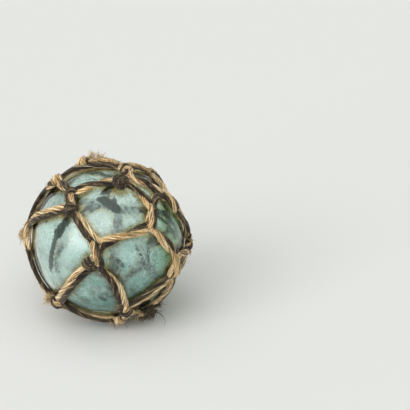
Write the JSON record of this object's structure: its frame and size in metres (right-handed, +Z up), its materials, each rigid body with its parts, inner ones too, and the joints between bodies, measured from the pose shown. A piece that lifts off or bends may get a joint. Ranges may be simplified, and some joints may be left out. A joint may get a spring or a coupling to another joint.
{
  "type": "glass float ball",
  "caption": "Hollow blown glass float ball, held in a knotted net of two-strand rope, lying on the knots under it.",
  "frame": {"origin": "on the floor, under the middle of the part's outline", "axes": "+Z up, -Y towards the front, where the crown knot of the net shows upper right of the middle"},
  "size_m": [0.1148, 0.1136, 0.1106],
  "materials": {
    "clear_glass": "clear pale aqua blown glass, glossy, slightly rippled, with seeds and bubbles",
    "rope": "coarse weathered two-strand rope, one strand dark brown and one straw-coloured, fibrous and dull"
  },
  "bodies": {
    "root": {"glass_ball": "clear_glass", "net": "rope"}
  },
  "joints": []
}
